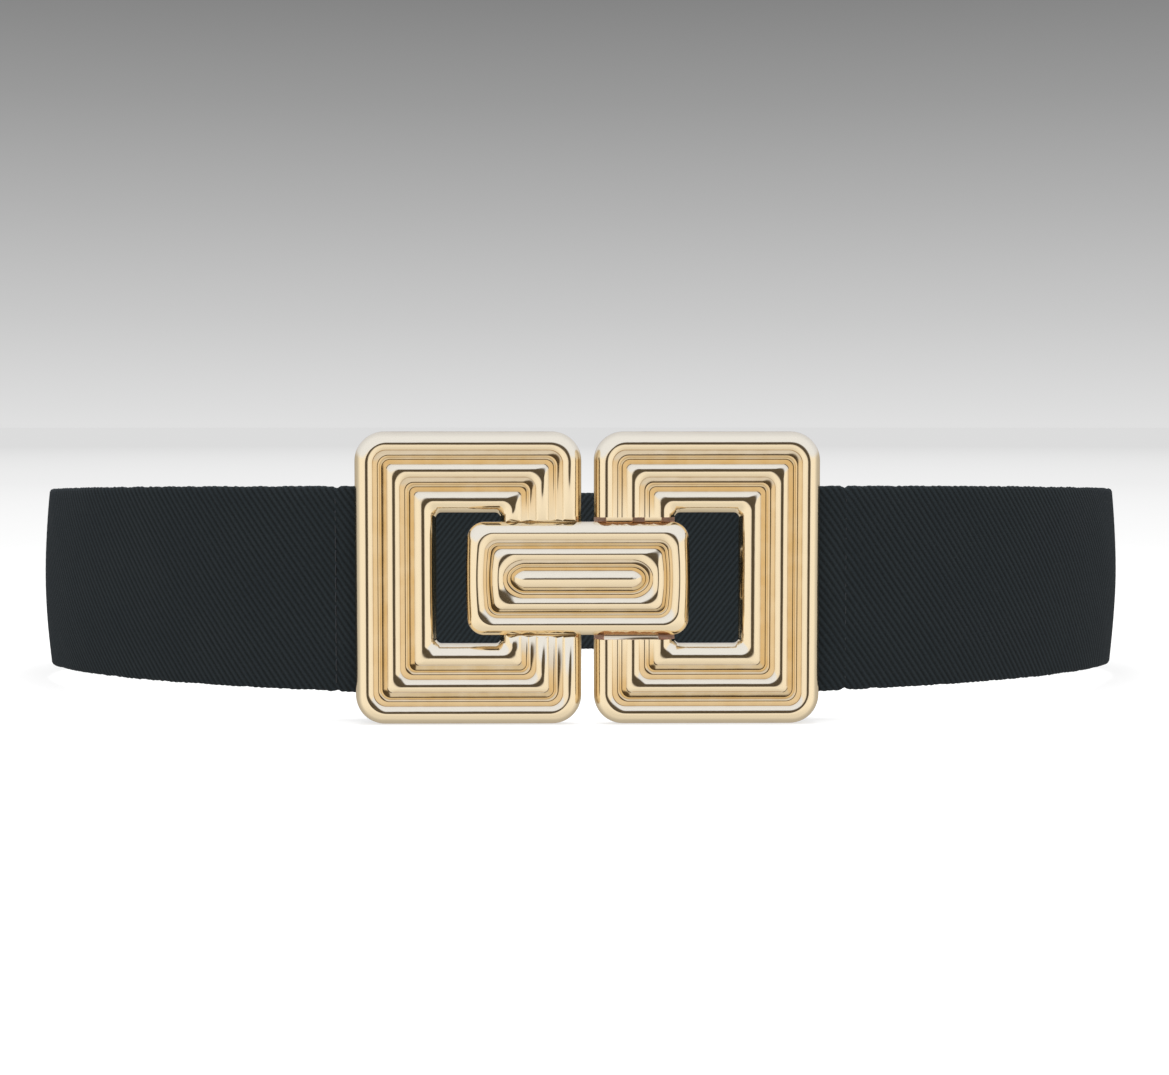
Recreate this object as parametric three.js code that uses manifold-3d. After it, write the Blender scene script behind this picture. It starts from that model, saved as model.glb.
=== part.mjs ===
// A stretch belt that stands on its edge with its buckle fastened.
// All lengths are millimetres and all angles degrees. X runs along the buckle, Y points to the back, Z is up.
import * as THREE from "three";
import { mergeVertices } from "three/addons/utils/BufferGeometryUtils.js";
import Module from "manifold-3d";

const wasm = await Module();
wasm.setup();

// Buckle frames
const frameWidth = 54;
const frameHeight = 70;
const frameDepth = 5;
const frameCorner = 7;
const frameGap = 3;
const memberWidth = 19.3;
const openingCorner = 1.3;
const rimWidth = 1.8;
const recessDepth = 1.7;

// Clasp plate over the inner bars of both frames
const plateWidth = 53.4;
const plateHeight = 27;
const plateDepth = 3.7;
const plateShift = -2.3;
const endBow = 0.7;

// Seats that the clasp plate lies in
const barDepth = 2.2;
const seatClearance = 0.3;
const seatMargin = { left: 0.3, right: 0.7 };
const seatBacking = 2.5;
const rootDepth = 0.4;

// Studs that hold the clasp plate to the left frame
const studDiameter = 3;
const studSpacing = 15;
const studHeadDiameter = 4.8;
const studHeadDepth = 0.8;
const studRoot = 1;

// Hook behind the clasp plate
const hookWidth = 12;
const hookThickness = 1.8;
const hookReach = 9;
const hookRoot = 1;

// Strap bars at the backs of the frames
const strapBarDiameter = 3.2;
const strapBarInset = 8;
const lugWidth = 5;
const lugThickness = 3;
const lugClearance = 0.5;

// Elastic band
const bandWidth = 50;
const bandThickness = 1.8;
const bandDrop = 3;
const bandBow = 2.8;
const sinkPower = 1.2;
const selvedgeTaper = 0.5;
const frameClearance = 0.5;
const wrapClearance = 0.3;
const sewnGap = 0.3;
const sewnLength = 12;
const sewnMargin = 2;
const straightUnderFrame = 4;
const loopWidth = 303;
const startHeading = 25;
const startRadius = 18;
const tailHeading = -6;
const tailRadius = 8;

// Fineness of the curves
const cornerSteps = 5;
const flankSteps = 3;
const bowSteps = 4;
const backSteps = 5;
const roundSides = 12;
const loopStepDegrees = 8;
const wrapStepDegrees = 30;
const roundestCorner = 0.49;

// Ridges of a frame from its outer edge to its opening. The width is a share of the member's width,
// the heights are shares of the frame's depth and the corners shares of its outer corner's radius.
const frameRidges = [
  { width: 0.241, crestAt: 0.6, outerFoot: 0.44, crest: 1.0, innerFoot: 0.74, corner: 1.0, crestCorner: 0.66 },
  { width: 0.05, crestAt: 0.5, outerFoot: 0.74, crest: 0.81, innerFoot: 0.73, corner: 0.46, crestCorner: 0.42 },
  { width: 0.05, crestAt: 0.5, outerFoot: 0.73, crest: 0.8, innerFoot: 0.72, corner: 0.37, crestCorner: 0.34 },
  { width: 0.073, crestAt: 0.5, outerFoot: 0.72, crest: 0.79, innerFoot: 0.72, corner: 0.28, crestCorner: 0.22 },
  { width: 0.167, crestAt: 0.48, outerFoot: 0.72, crest: 0.98, innerFoot: 0.71, corner: 0.06, crestCorner: 0.38 },
  { width: 0.052, crestAt: 0.5, outerFoot: 0.71, crest: 0.78, innerFoot: 0.7, corner: 0.36, crestCorner: 0.33 },
  { width: 0.052, crestAt: 0.5, outerFoot: 0.7, crest: 0.77, innerFoot: 0.69, corner: 0.29, crestCorner: 0.26 },
  { width: 0.08, crestAt: 0.5, outerFoot: 0.69, crest: 0.76, innerFoot: 0.69, corner: 0.2, crestCorner: 0.16 },
  { width: 0.235, crestAt: 0.35, outerFoot: 0.69, crest: 0.94, innerFoot: 0.44, corner: 0.06, crestCorner: 0.34 },
];

// Ridges of the clasp plate from its edge to its middle line. The width is a share of half the plate's height,
// the heights are shares of the plate's depth and the corners shares of half the plate's height.
const plateRidges = [
  { width: 0.3, crestAt: 0.56, outerFoot: 0.5, crest: 0.97, innerFoot: 0.7, corner: 0.27, crestCorner: 0.24 },
  { width: 0.07, crestAt: 0.5, outerFoot: 0.7, crest: 0.77, innerFoot: 0.7, corner: 0.2, crestCorner: 0.17 },
  { width: 0.07, crestAt: 0.5, outerFoot: 0.7, crest: 0.77, innerFoot: 0.7, corner: 0.13, crestCorner: 0.1 },
  { width: 0.21, crestAt: 0.5, outerFoot: 0.7, crest: 0.99, innerFoot: 0.71, corner: 0.03, crestCorner: 0.26 },
  { width: 0.07, crestAt: 0.5, outerFoot: 0.71, crest: 0.78, innerFoot: 0.71, corner: 0.34, crestCorner: 0.31 },
  { width: 0.07, crestAt: 0.5, outerFoot: 0.71, crest: 0.78, innerFoot: 0.71, corner: 0.27, crestCorner: 0.23 },
  { width: 0.205, crestAt: 1.0, outerFoot: 0.71, crest: 1.0, innerFoot: 1.0, corner: 0.2, crestCorner: 0.01 },
];
const fineRise = 0.15;

// Arcs of the loop seen from above, from the sewn end of the band to its flat back.
// The turn is in degrees and the radius a share of half the loop's width.
const loopArcs = [
  { turn: 20, radius: 1.05 },
  { turn: 19, radius: 0.91 },
  { turn: 98, radius: 0.28 },
];

const radians = THREE.MathUtils.degToRad;

// Turns a three.js geometry into a solid that can be joined and cut.
function toSolid(geometry) {
  const bare = geometry.clone();
  bare.deleteAttribute("normal");
  bare.deleteAttribute("uv");
  const merged = mergeVertices(bare, 1e-5);
  return new wasm.Manifold(new wasm.Mesh({
    numProp: 3,
    vertProperties: new Float32Array(merged.attributes.position.array),
    triVerts: new Uint32Array(merged.index.array),
  }));
}

// Turns a joined or cut solid back into a three.js geometry.
function toGeometry(solid) {
  const mesh = solid.getMesh();
  const geometry = new THREE.BufferGeometry();
  geometry.setAttribute("position", new THREE.Float32BufferAttribute(mesh.vertProperties, 3));
  geometry.setIndex(Array.from(mesh.triVerts));
  geometry.computeVertexNormals();
  return geometry;
}

// A skin over a row of rings with the same number of points. A closed row joins its last ring to its first,
// and an open one is capped at both ends.
function loft(rings, closed) {
  const count = rings[0].length;
  const index = [];
  const spans = closed ? rings.length : rings.length - 1;
  for (let row = 0; row < spans; row++) {
    const here = row * count;
    const next = ((row + 1) % rings.length) * count;
    for (let point = 0; point < count; point++) {
      const after = (point + 1) % count;
      index.push(here + point, here + after, next + after);
      index.push(here + point, next + after, next + point);
    }
  }
  if (!closed) {
    const last = (rings.length - 1) * count;
    for (let point = 1; point < count - 1; point++) {
      index.push(0, point + 1, point);
      index.push(last, last + point, last + point + 1);
    }
  }
  const geometry = new THREE.BufferGeometry();
  geometry.setAttribute("position", new THREE.Float32BufferAttribute(
    rings.flat().flatMap((point) => point.toArray()), 3));
  geometry.setIndex(index);
  geometry.computeVertexNormals();
  return geometry;
}

// A rounded rectangle that faces the front, at a height in front of the back plane.
// A short stretch between two corners always stays straight.
function roundedRing(width, height, corner, rise) {
  const radius = Math.min(corner, roundestCorner * width, roundestCorner * height);
  const points = [];
  for (let quarter = 0; quarter < 4; quarter++) {
    const right = quarter === 0 || quarter === 3 ? 1 : -1;
    const top = quarter < 2 ? 1 : -1;
    for (let step = 0; step <= cornerSteps; step++) {
      const angle = radians(90 * (quarter + step / cornerSteps));
      const x = right * (width / 2 - radius) + radius * Math.cos(angle);
      const z = top * (height / 2 - radius) + radius * Math.sin(angle);
      points.push(new THREE.Vector3(x, -rise, z));
    }
  }
  return points;
}

// The same ring with extra points on its two short ends, which swell outwards to their middle.
function bowedRing(width, height, corner, rise, bow) {
  const ring = roundedRing(width - 2 * bow, height, corner, rise);
  const perSide = ring.length / 2;
  const ends = [ring.slice(0, perSide), ring.slice(perSide)].map((side) => {
    const from = side[side.length - 1];
    const to = new THREE.Vector3(from.x, from.y, -from.z);
    const between = [];
    for (let step = 1; step < bowSteps; step++) between.push(from.clone().lerp(to, step / bowSteps));
    return [side, between];
  });
  const [[top, left], [bottom, right]] = ends;
  const points = [...top, ...left, ...bottom, ...right];
  for (const point of points) {
    point.x += Math.sign(point.x) * bow * (1 - (2 * point.z / height) ** 2);
  }
  return points;
}

// The stations over a table of ridges: how far in each lies, how high it stands and how round its corner is.
// Each flank of a ridge is a quarter of an ellipse, upright at its foot and level at its crest.
function ridgeStations(ridges, span, depth, cornerUnit, lastCorner) {
  const stations = [];
  let start = 0;
  ridges.forEach((ridge, order) => {
    const next = ridges[order + 1];
    const endCorner = next ? next.corner * cornerUnit : lastCorner;
    const steps = ridge.crest - ridge.outerFoot < fineRise ? 1 : flankSteps;
    const crestCorner = ridge.crestCorner * cornerUnit;
    const flanks = [
      { from: 0, to: ridge.crestAt, foot: ridge.outerFoot, corners: [ridge.corner * cornerUnit, crestCorner] },
      { from: 1, to: ridge.crestAt, foot: ridge.innerFoot, corners: [endCorner, crestCorner] },
    ];
    const station = (flank, share) => {
      const angle = radians(90 * share);
      const along = flank.from + (flank.to - flank.from) * (1 - Math.cos(angle));
      return {
        inset: span * (start + ridge.width * along),
        rise: depth * (flank.foot + (ridge.crest - flank.foot) * Math.sin(angle)),
        corner: THREE.MathUtils.lerp(flank.corners[0], flank.corners[1], share),
      };
    };
    for (let step = 0; step < steps; step++) stations.push(station(flanks[0], step / steps));
    stations.push(station(flanks[0], 1));
    if (ridge.crestAt < 1) {
      for (let step = steps - 1; step >= 1; step--) stations.push(station(flanks[1], step / steps));
    }
    if (!next && ridge.crestAt < 1) stations.push(station(flanks[1], 0));
    start += ridge.width;
  });
  return stations;
}

// The cast body of a frame: ridges in front, the opening's wall, and a recess between two rims at the back.
function frameBody(middle) {
  const ring = (inset, rise, corner) =>
    roundedRing(frameWidth - 2 * inset, frameHeight - 2 * inset, corner, rise);
  const stations = ridgeStations(frameRidges, memberWidth, frameDepth, frameCorner, openingCorner);
  const rings = stations.map((station) => ring(station.inset, station.rise, station.corner));
  const innerRim = memberWidth - rimWidth;
  rings.push(ring(memberWidth, 0, openingCorner));
  rings.push(ring(innerRim, 0, openingCorner + rimWidth));
  rings.push(ring(innerRim, recessDepth, openingCorner + rimWidth));
  rings.push(ring(rimWidth, recessDepth, frameCorner - rimWidth));
  rings.push(ring(rimWidth, 0, frameCorner - rimWidth));
  rings.push(ring(0, 0, frameCorner));
  return toSolid(loft(rings, true).translate(middle, 0, 0));
}

// A box between two corners, as a solid.
function block(low, high) {
  const size = new THREE.Vector3().subVectors(high, low);
  const box = new THREE.BoxGeometry(size.x, size.y, size.z);
  box.translate(low.x + size.x / 2, low.y + size.y / 2, low.z + size.z / 2);
  return toSolid(box);
}

// A round rod between two points on a line along Y or Z, as a solid.
function rod(diameter, from, to) {
  const length = from.distanceTo(to);
  const cylinder = new THREE.CylinderGeometry(diameter / 2, diameter / 2, length, roundSides);
  const direction = new THREE.Vector3().subVectors(to, from).normalize();
  cylinder.applyQuaternion(new THREE.Quaternion().setFromUnitVectors(new THREE.Vector3(0, 1, 0), direction));
  cylinder.translate((from.x + to.x) / 2, (from.y + to.y) / 2, (from.z + to.z) / 2);
  return toSolid(cylinder);
}

// Where the strap bar and the band lie, measured from the middle of the buckle's back.
const outerEdge = frameGap / 2 + frameWidth;
const strapBarX = outerEdge - strapBarInset;
const wrapRadius = strapBarDiameter / 2 + wrapClearance + bandThickness / 2;
const bandY = frameClearance + bandThickness / 2;
const strapBarY = bandY + wrapRadius;
const bandTop = bandWidth / 2 - bandDrop;
const bandBottom = -bandWidth / 2 - bandDrop;

// Two lugs and the bar between them that the band is wrapped around.
function strapBar(side) {
  const lugOutline = new THREE.Shape();
  lugOutline.moveTo(-lugWidth / 2, -recessDepth - rootDepth);
  lugOutline.lineTo(lugWidth / 2, -recessDepth - rootDepth);
  lugOutline.lineTo(lugWidth / 2, strapBarY);
  lugOutline.absarc(0, strapBarY, lugWidth / 2, 0, Math.PI, false);
  const lug = (foot) => {
    const plate = new THREE.ExtrudeGeometry(lugOutline, {
      depth: lugThickness,
      bevelEnabled: false,
      curveSegments: roundSides / 2,
    });
    plate.translate(side * strapBarX, 0, foot);
    return toSolid(plate);
  };
  const upper = bandTop + lugClearance;
  const lower = bandBottom - lugClearance - lugThickness;
  const overlap = lugThickness / 2;
  const bar = rod(
    strapBarDiameter,
    new THREE.Vector3(side * strapBarX, strapBarY, lower + overlap),
    new THREE.Vector3(side * strapBarX, strapBarY, upper + overlap),
  );
  return lug(upper).add(lug(lower)).add(bar);
}

// One of the two frames. Its inner bar is solid and cut down in front, so that the clasp plate lies in it.
function frame(side, margin) {
  const middle = side * (frameGap + frameWidth) / 2;
  const seatHalf = plateHeight / 2 + margin;
  const backingHalf = seatHalf + seatBacking;
  const innerEdge = frameGap / 2;
  const openingEdge = innerEdge + memberWidth;
  const across = (from, to) => [Math.min(side * from, side * to), Math.max(side * from, side * to)];
  const [backingLow, backingHigh] = across(innerEdge + rimWidth / 2, openingEdge - rimWidth / 2);
  const [seatLow, seatHigh] = across(innerEdge - frameGap / 2, openingEdge + rimWidth);
  const backing = block(
    new THREE.Vector3(backingLow, -barDepth - rootDepth, -backingHalf),
    new THREE.Vector3(backingHigh, 0, backingHalf),
  );
  const seat = block(
    new THREE.Vector3(seatLow, -2 * frameDepth, -seatHalf),
    new THREE.Vector3(seatHigh, -barDepth, seatHalf),
  );
  return frameBody(middle).add(backing).subtract(seat).add(strapBar(side));
}

const studX = -(frameGap + memberWidth) / 2;
const studHeights = [-studSpacing / 2, studSpacing / 2];

// The left frame has a hole for each stud of the clasp plate.
function leftFrame() {
  const holes = studHeights.map((z) => rod(
    studDiameter + 2 * seatClearance,
    new THREE.Vector3(studX, -frameDepth, z),
    new THREE.Vector3(studX, frameDepth, z),
  ));
  return holes.reduce((solid, hole) => solid.subtract(hole), frame(-1, seatMargin.left));
}

// The clasp plate with its two studs, whose heads are spread behind the left frame, and its hook,
// which goes through the right frame's opening and back behind that frame's inner bar.
function claspPlate() {
  const back = barDepth + seatClearance;
  const half = plateHeight / 2;
  const stations = ridgeStations(plateRidges, half, plateDepth, half, 0);
  const ring = (inset, rise, corner) =>
    bowedRing(plateWidth - 2 * inset, plateHeight - 2 * inset, corner, back + rise, endBow);
  const rings = [ring(0, 0, plateRidges[0].corner * half)];
  stations.forEach((station) => rings.push(ring(station.inset, station.rise, station.corner)));
  const plate = toSolid(loft(rings, false).translate(plateShift, 0, 0));

  const studs = studHeights.map((z) => {
    const shank = rod(
      studDiameter,
      new THREE.Vector3(studX, -back - studRoot, z),
      new THREE.Vector3(studX, seatClearance + studHeadDepth / 2, z),
    );
    const head = rod(
      studHeadDiameter,
      new THREE.Vector3(studX, seatClearance, z),
      new THREE.Vector3(studX, seatClearance + studHeadDepth, z),
    );
    return shank.add(head);
  });

  const postX = frameGap / 2 + memberWidth + seatClearance;
  const hookOutline = new THREE.Shape();
  const hookRound = hookThickness / 2;
  hookOutline.moveTo(postX, -back - hookRoot);
  hookOutline.lineTo(postX, seatClearance);
  hookOutline.lineTo(postX - hookReach, seatClearance);
  hookOutline.absarc(postX - hookReach, seatClearance + hookRound, hookRound, -Math.PI / 2, -3 * Math.PI / 2, true);
  hookOutline.lineTo(postX + hookRound, seatClearance + hookThickness);
  hookOutline.absarc(postX + hookRound, seatClearance + hookRound, hookRound, Math.PI / 2, 0, true);
  hookOutline.lineTo(postX + hookThickness, -back - hookRoot);
  const hookGeometry = new THREE.ExtrudeGeometry(hookOutline, {
    depth: hookWidth,
    bevelEnabled: false,
    curveSegments: roundSides / 2,
  });
  hookGeometry.translate(0, 0, -hookWidth / 2);
  return studs.reduce((solid, stud) => solid.add(stud), plate.add(toSolid(hookGeometry)));
}

// A walk over the ground plan that leaves a station at each step: its place, its heading and how far it has come.
class Walk {
  constructor(x, y, heading) {
    this.stations = [{ x, y, heading, run: 0 }];
  }

  get last() {
    return this.stations[this.stations.length - 1];
  }

  straight(length, steps = 1) {
    const { x, y, heading, run } = this.last;
    for (let step = 1; step <= steps; step++) {
      const gone = length * step / steps;
      this.stations.push({
        x: x + gone * Math.cos(radians(heading)),
        y: y + gone * Math.sin(radians(heading)),
        heading,
        run: run + gone,
      });
    }
    return this;
  }

  // A positive turn is to the left.
  arc(turn, radius, degreesEach = loopStepDegrees) {
    const { x, y, heading, run } = this.last;
    const hand = Math.sign(turn);
    const steps = Math.ceil(Math.abs(turn) / degreesEach);
    const centreX = x - hand * radius * Math.sin(radians(heading));
    const centreY = y + hand * radius * Math.cos(radians(heading));
    for (let step = 1; step <= steps; step++) {
      const turned = turn * step / steps;
      this.stations.push({
        x: centreX + hand * radius * Math.sin(radians(heading + turned)),
        y: centreY - hand * radius * Math.cos(radians(heading + turned)),
        heading: heading + turned,
        run: run + radius * radians(Math.abs(turned)),
      });
    }
    return this;
  }
}

// The right half of the band's middle surface in plan: from the sewn tail around the strap bar,
// under the frame, out along the loop and to the middle of the back.
function halfPath() {
  const underFrame = new Walk(strapBarX, bandY, 0);
  underFrame.straight(straightUnderFrame).arc(startHeading, startRadius);
  const leaving = underFrame.last;
  const along = new THREE.Vector2(Math.cos(radians(startHeading)), Math.sin(radians(startHeading)));
  const layer = bandThickness + sewnGap;
  const tailLine = new THREE.Vector2(leaving.x - layer * along.y, leaving.y + layer * along.x);
  const tailStart = 180 + tailHeading;
  const wrapStart = new THREE.Vector2(
    strapBarX + wrapRadius * Math.sin(radians(tailStart)),
    strapBarY - wrapRadius * Math.cos(radians(tailStart)),
  );
  const away = new THREE.Vector2(Math.cos(radians(tailHeading)), Math.sin(radians(tailHeading)));
  const between = new THREE.Vector2().subVectors(tailLine, wrapStart);
  const toBend = (between.x * along.y - between.y * along.x) / (away.x * along.y - away.y * along.x);
  const bend = wrapStart.clone().addScaledVector(away, toBend);
  const bendTurn = startHeading - tailHeading;
  const bendTangent = tailRadius * Math.tan(radians(bendTurn / 2));
  const tailEnd = bend.clone().addScaledVector(along, bendTangent + sewnLength);
  const sewnRun = tailEnd.clone().sub(new THREE.Vector2(leaving.x, leaving.y)).dot(along) + sewnMargin;

  const walk = new Walk(tailEnd.x, tailEnd.y, 180 + startHeading);
  walk.straight(sewnLength, 2).arc(-bendTurn, tailRadius).straight(toBend - bendTangent);
  walk.arc(180 - tailHeading, wrapRadius, wrapStepDegrees).straight(straightUnderFrame).arc(startHeading, startRadius);
  walk.straight(sewnRun, 3);

  const before = walk.last;
  let heading = startHeading;
  let reach = 0;
  for (const { turn, radius } of loopArcs) {
    const end = Math.min(heading + turn, 90);
    reach += radius * (Math.sin(radians(end)) - Math.sin(radians(heading)));
    heading += turn;
  }
  const unit = ((loopWidth - bandThickness) / 2 - before.x) / reach;
  const loopStart = before.run;
  for (const { turn, radius } of loopArcs) walk.arc(turn, radius * unit);
  const leftToTurn = 180 - heading;
  walk.arc(leftToTurn, walk.last.x / Math.sin(radians(leftToTurn)), leftToTurn / backSteps);
  return { stations: walk.stations, loopStart };
}

// The elastic band: one strip of one thickness, swept with its width upright. It is highest at the buckle
// and comes down to the ground at its back, and its middle bulges a little outwards around the sides.
function elasticBand() {
  const { stations, loopStart } = halfPath();
  const end = stations[stations.length - 1];
  const mirrored = stations.slice(0, -1).reverse().map((station) => ({
    ...station,
    x: -station.x,
    heading: 360 - station.heading,
    run: 2 * end.run - station.run,
  }));
  const groundLift = frameHeight / 2 + bandBottom;
  const acrossShares = [-1, -0.5, 0, 0.5, 1];
  const half = bandThickness / 2;
  const rings = [...stations, ...mirrored].map((station) => {
    const outward = new THREE.Vector2(Math.sin(radians(station.heading)), -Math.cos(radians(station.heading)));
    const share = THREE.MathUtils.clamp((station.run - loopStart) / (2 * (end.run - loopStart)), 0, 1);
    const bulge = bandBow * Math.sin(Math.PI * share);
    const sink = groundLift * (Math.max(0, station.y) / end.y) ** sinkPower;
    const point = (across, offset) => {
      const out = bulge * (1 - across * across) + offset;
      return new THREE.Vector3(
        station.x + outward.x * out,
        station.y + outward.y * out,
        (bandTop + bandBottom) / 2 + across * bandWidth / 2 - sink,
      );
    };
    const edge = 1 - 2 * selvedgeTaper / bandWidth;
    const outer = acrossShares.map((across) => point(-across * edge, half));
    const inner = acrossShares.map((across) => point(across * edge, -half));
    return [...outer, point(-1, 0), ...inner, point(1, 0)];
  });
  return loft(rings, false);
}

const gold = new THREE.MeshStandardMaterial({ color: 0xe0c08c, metalness: 1, roughness: 0.16 });
const plateGold = new THREE.MeshStandardMaterial({ color: 0xe6c894, metalness: 1, roughness: 0.16 });
const blackElastic = new THREE.MeshStandardMaterial({ color: 0x15191b, metalness: 0, roughness: 0.92 });

function piece(name, geometry, material) {
  const mesh = new THREE.Mesh(geometry, material);
  mesh.name = name;
  return mesh;
}

// The belt stands on the frames' lower edges and the lower edge of the band's back,
// and its origin is on the ground under the middle of its outline.
const belt = new THREE.Group();
belt.add(piece("left_frame", toGeometry(leftFrame()), gold));
belt.add(piece("right_frame", toGeometry(frame(1, seatMargin.right)), gold));
belt.add(piece("clasp_plate", toGeometry(claspPlate()), plateGold));
belt.add(piece("elastic_band", elasticBand(), blackElastic));
const bounds = new THREE.Box3().setFromObject(belt, true);
belt.position.set(-(bounds.min.x + bounds.max.x) / 2, -(bounds.min.y + bounds.max.y) / 2, -bounds.min.z);

export default belt;
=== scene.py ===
"""Dresses an elastic stretch belt: a polished, ribbed gold buckle and a black twill band around its bars.

Lengths are millimetres in the row frame until a finished piece is brought to metres. X runs along the
buckle, Y points to the back and Z is up.
"""
import bisect
import math
import random
from collections import namedtuple

import bmesh
import bpy
from mathutils import Matrix, Vector, noise


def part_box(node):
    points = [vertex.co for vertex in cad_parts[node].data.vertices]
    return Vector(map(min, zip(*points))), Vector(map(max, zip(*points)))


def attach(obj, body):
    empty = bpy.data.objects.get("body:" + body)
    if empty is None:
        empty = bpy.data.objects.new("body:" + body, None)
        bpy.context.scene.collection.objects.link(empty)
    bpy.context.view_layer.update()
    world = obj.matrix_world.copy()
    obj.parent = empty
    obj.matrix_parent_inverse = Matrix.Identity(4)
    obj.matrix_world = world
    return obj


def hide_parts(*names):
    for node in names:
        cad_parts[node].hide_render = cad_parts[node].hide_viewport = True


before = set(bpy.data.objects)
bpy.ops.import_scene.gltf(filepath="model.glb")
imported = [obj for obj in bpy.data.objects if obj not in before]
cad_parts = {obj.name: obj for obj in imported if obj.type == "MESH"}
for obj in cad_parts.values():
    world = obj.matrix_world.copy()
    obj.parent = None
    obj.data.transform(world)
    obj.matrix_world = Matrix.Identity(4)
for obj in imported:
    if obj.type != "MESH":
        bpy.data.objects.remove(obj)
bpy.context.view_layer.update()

MM = 1000.0


def node_box(name):
    """A CAD node's lowest and highest corners, in millimetres."""
    low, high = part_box(name)
    return low * MM, high * MM


left_low, left_high = node_box("left_frame")
right_low, right_high = node_box("right_frame")
plate_low, plate_high = node_box("clasp_plate")
band_low, band_high = node_box("elastic_band")

# Buckle frames
FRAME_WIDTH = right_high.x - right_low.x
FRAME_HEIGHT = right_high.z - right_low.z
FRAME_GAP = right_low.x - left_high.x
FRAME_DEPTH = 5.0
FRAME_CORNER = 7.0
MEMBER_WIDTH = 19.3
OPENING_CORNER = 1.3
RIM_WIDTH = 1.8
RECESS_DEPTH = 1.7
MIDDLE_Z = (right_low.z + right_high.z) / 2
BACK_Y = right_low.y + FRAME_DEPTH

# Clasp plate and the seats that it lies in
PLATE_WIDTH = plate_high.x - plate_low.x
PLATE_HEIGHT = plate_high.z - plate_low.z
PLATE_DEPTH = 3.7
PLATE_MIDDLE_X = (plate_low.x + plate_high.x) / 2
PLATE_BACK_Y = plate_low.y + PLATE_DEPTH
END_BOW = 0.7
BAR_DEPTH = 2.2
SEAT_CLEARANCE = 0.3
SEAT_BACKING = 2.5
ROOT_DEPTH = 0.4
LEFT_SEAT_MARGIN = 0.02
RIGHT_SEAT_MARGIN = 1.1
FLARE_DEPTH = 4.0
LEDGE_DEPTH = 3.9
LEDGE_FALL = 0.25
LEDGE_CLEARANCE = 0.2
LEDGES_ABOVE = [(4.4, 10.7), (13.6, 17.6)]
LEDGES_BELOW = [(3.9, 16.9)]

# Studs and hook behind the clasp plate
STUD_DIAMETER = 3.0
STUD_SPACING = 15.0
STUD_HEAD_DIAMETER = 4.8
STUD_HEAD_DEPTH = 0.8
HOOK_WIDTH = 12.0
HOOK_THICKNESS = 1.8
HOOK_REACH = 9.0

# Strap bars and their lugs
STRAP_BAR_DIAMETER = 3.2
STRAP_BAR_INSET = 8.0
LUG_WIDTH = 5.0
LUG_THICKNESS = 3.0
LUG_CLEARANCE = 0.5
BACK_EDGE_ROUND = 0.25
RIM_LEAN = 0.01

# Elastic band
BAND_WIDTH = 50.0
BAND_THICKNESS = 1.8
BAND_DROP = 3.0
BAND_BOW = 2.8
SINK_POWER = 1.2
FRAME_CLEARANCE = 0.5
WRAP_CLEARANCE = 0.3
SEWN_GAP = 0.3
SEWN_LENGTH = 12.0
SEWN_MARGIN = 2.0
STRAIGHT_UNDER_FRAME = 4.0
LOOP_WIDTH = 303.0
START_HEADING = 25.0
START_RADIUS = 18.0
TAIL_HEADING = -6.0
TAIL_RADIUS = 8.0

# Twill of the band
RIB_PITCH = 1.4
RIB_ANGLE = 52.0
RIB_RISE = 0.2
COLUMNS_PER_RIB = 4
FACE_ROWS = 20
SELVEDGE_ROUND = 0.9
SELVEDGE_ROWS = 4
RIB_SEED = 11
EDGE_SCALLOP = 0.12
EDGE_RAGGED = 0.35
FABRIC_RIPPLE = 0.35
RIPPLE_SIZE = 22.0
WEFT_PITCH = 0.62

# Sewing of the folded ends
STITCH_OUTSIDE_LEFT = 5.0
STITCH_OUTSIDE_RIGHT = 7.0
STITCH_PITCH = 3.3
THREAD_RADIUS = 0.2
PINCH_REACH = 1.0
PINCH_DEPTH = 0.3
EDGE_NOTCH = 0.55

# Camera and surroundings
PHOTO_WIDTH = 1169
FOCAL_PIXELS = 2000
CAMERA_X = -7.4
CAMERA_DISTANCE = 479.6
CAMERA_HEIGHT = 71.75
CAMERA_PITCH = 3.248
CAMERA_YAW = 0.80
FLOOR_RADIUS = 40.0
FLOOR_GLOW = 0.60
FLOOR_PAINT = 0.38
FLOOR_GREYS = [(0.0, 255), (0.04, 255), (0.12, 241), (0.33, 228), (0.8, 215), (1.0, 210)]
BACKDROP_GREYS = [(0.0, 224), (0.103, 201), (0.209, 178), (0.313, 154), (0.415, 131), (1.0, 110)]
OPENING_X = 0.13
OPENING_Z = 0.06
OPENING_LONG = 0.50
OPENING_SHORT = 0.36
OPENING_COLOUR = (0.10, 0.084, 0.066, 1.0)
TENT_NEAR = 0.92
TENT_SIDES = 1.05
TENT_FLOOR = 0.85
TENT_TOP = 1.03
TENT_REAR = 0.55
TENT_REAR_TOP = 0.9
TENT_DIFFUSE = 1.35
LOOP_LIGHT_SIZE = 200.0
LOOP_LIGHT_HEIGHT = 300.0
LOOP_LIGHT_WATTS = 1.0
TENT_WARM = (1.0, 0.97, 0.97, 1.0)
TENT_COOL = (0.88, 1.0, 1.32, 1.0)

# Fineness of the cast pieces
CORNER_STEPS = 14
FLANK_STEPS = 9
FINE_STEPS = 4
FINE_RISE = 0.10
ROUNDEST_CORNER = 0.49
BOW_CUTS = 7

Ridge = namedtuple("Ridge", "width crest_at outer_foot crest inner_foot corner crest_corner power")

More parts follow.
